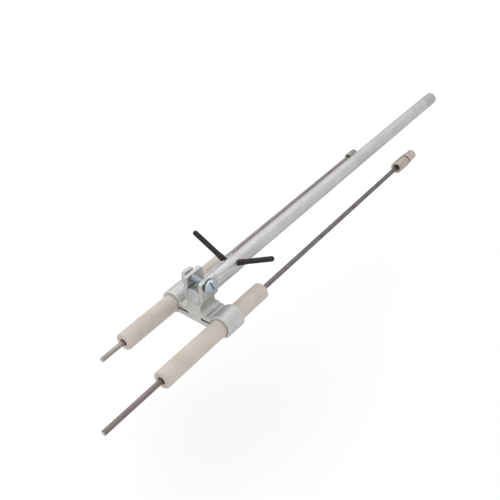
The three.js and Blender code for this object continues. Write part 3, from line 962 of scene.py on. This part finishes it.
def terminal_nut(node, material):
    """A domed cap nut with a low flange at its open end."""
    place = turned_place(node)
    bore_end = place.front + CAP.bore_depth
    flange_end = place.front + CAP.flange_length
    nut = turned(rounded([
        (0, bore_end, 0),
        (CAP.bore, bore_end, 0),
        (CAP.bore, place.front, CAP.bore_edge),
        (place.radius, place.front, CAP.front_edge),
        (place.radius, flange_end, CAP.flange_edge),
        (CAP.radius, flange_end, CAP.step_edge),
        (CAP.radius, place.rear - CAP.dome_height, CAP.shoulder),
        (CAP.top_radius, place.rear, CAP.top_edge),
        (0, place.rear, 0),
    ]))
    finish_piece(node, moved(nut, at(place.x, 0, place.z)), "nickel_plate", material)


def terminal_ferrule(node, material):
    """A plain ferrule, open at the front and rounded at the rear."""
    place = turned_place(node)
    socket_end = place.front + FERRULE.socket_depth
    mouth_end = place.front + FERRULE.mouth_depth
    ferrule = turned(rounded([
        (0, socket_end, 0),
        (SOCKET.radius, socket_end, 0),
        (SOCKET.radius, mouth_end + SOCKET.lead_in, 0),
        (FERRULE.mouth_radius, mouth_end, 0),
        (FERRULE.mouth_radius, place.front, FERRULE.mouth_edge),
        (place.radius, place.front, FERRULE.front_edge),
        (place.radius, place.rear, FERRULE.rounding),
        (0, place.rear, 0),
    ]))
    finish_piece(node, moved(ferrule, at(place.x, 0, place.z)), "nickel_plate", material)


def clamp_pieces():
    zinc = zinc_plate("bluish_zinc", srgb(186, 196, 202), srgb(168, 179, 187), 0.32)
    clamp_body()
    clamp_screw(zinc)
    spring_washer()
    square_nut(zinc_plate("grey_zinc", srgb(204, 204, 204), srgb(188, 188, 188), 0.45))
    ring_screw("left_ring_screw", -1, zinc)
    ring_screw("right_ring_screw", 1, zinc)


def support_pieces():
    black = black_oxide()
    support_rod()
    centring_sleeve()
    centring_leg("left", black)
    centring_leg("right", black)
    sleeve_screw(black)


def electrode_pieces():
    fired_clay, filler, bare = ceramic(), cement(), ground_end()
    # The left lead is the same wire as the right one, painted lighter to stand for the light that falls on
    # it.
    leads = {
        "left": drawn_wire("painted_lit_lead", srgb(158, 153, 151), srgb(132, 127, 126), 0.42),
        "right": drawn_wire("dark_lead", srgb(136, 131, 130), srgb(108, 103, 103), 0.42),
    }
    tips = {
        "left": ("bright_wire", drawn_wire("bright_wire", srgb(164, 159, 156), srgb(148, 143, 140), 0.38)),
        "right": ("browned_wire", drawn_wire("browned_wire", srgb(138, 128, 127), srgb(120, 110, 110), 0.42)),
    }
    for side, (tip_slot, tip_metal) in tips.items():
        tip_node, lead_node = f"{side}_electrode_tip", f"{side}_lead_rod"
        straight_wire(tip_node, tip_slot, tip_metal, bare)
        straight_wire(lead_node, "dark_steel", leads[side], bare)
        insulator(f"{side}_insulator", fired_clay)
        seal(f"{side}_front_seal", tip_node, filler)
        seal(f"{side}_rear_seal", lead_node, filler)
    terminal_ferrule("left_terminal_ferrule",
                     nickel_plate("grey_nickel", srgb(168, 166, 160), srgb(150, 148, 142)))
    terminal_sleeve("right_terminal_sleeve",
                    nickel_plate("warm_nickel", srgb(192, 182, 173), srgb(176, 167, 158)))
    terminal_nut("right_terminal_nut",
                 nickel_plate("pinkish_nickel", srgb(206, 193, 187), srgb(192, 178, 172)))


# ---- Studio -------------------------------------------------------------------------------------

FLOOR_RADIUS = 6.0  # metres
FLOOR_DROP = 0.08  # metres from the object's lowest point to the floor
SKY_BRIGHTNESS = 0.93


def add_floor():
    shape = bmesh.new()
    bmesh.ops.create_circle(shape, cap_ends=True, segments=128, radius=FLOOR_RADIUS)
    data = bpy.data.meshes.new("floor")
    shape.to_mesh(data)
    shape.free()
    data.materials.append(pale_floor())
    floor = bpy.data.objects.new("floor", data)
    floor.location.z = cad_low.z - FLOOR_DROP
    bpy.context.scene.collection.objects.link(floor)


def add_softbox(name, place, size, power):
    """A square light of that size in metres that faces the object."""
    data = bpy.data.lights.new(name, "AREA")
    data.shape = "SQUARE"
    data.size = size
    data.energy = power
    light = bpy.data.objects.new(name, data)
    light.location = place
    light.rotation_euler = (-Vector(place)).to_track_quat("-Z", "Y").to_euler()
    bpy.context.scene.collection.objects.link(light)


def add_studio():
    world = bpy.data.worlds.new("sky")
    world.use_nodes = True
    background = world.node_tree.nodes["Background"]
    background.inputs["Color"].default_value = (1, 1, 1, 1)
    background.inputs["Strength"].default_value = SKY_BRIGHTNESS
    bpy.context.scene.world = world
    add_floor()
    add_softbox("overhead_softbox", (-0.4, 0.3, 1.1), 1.4, 4.5)
    add_softbox("side_softbox", (-1.0, -0.6, 0.7), 1.0, 2.5)
    bpy.context.scene.view_settings.view_transform = "Standard"


add_camera()
clamp_pieces()
support_pieces()
electrode_pieces()
add_studio()
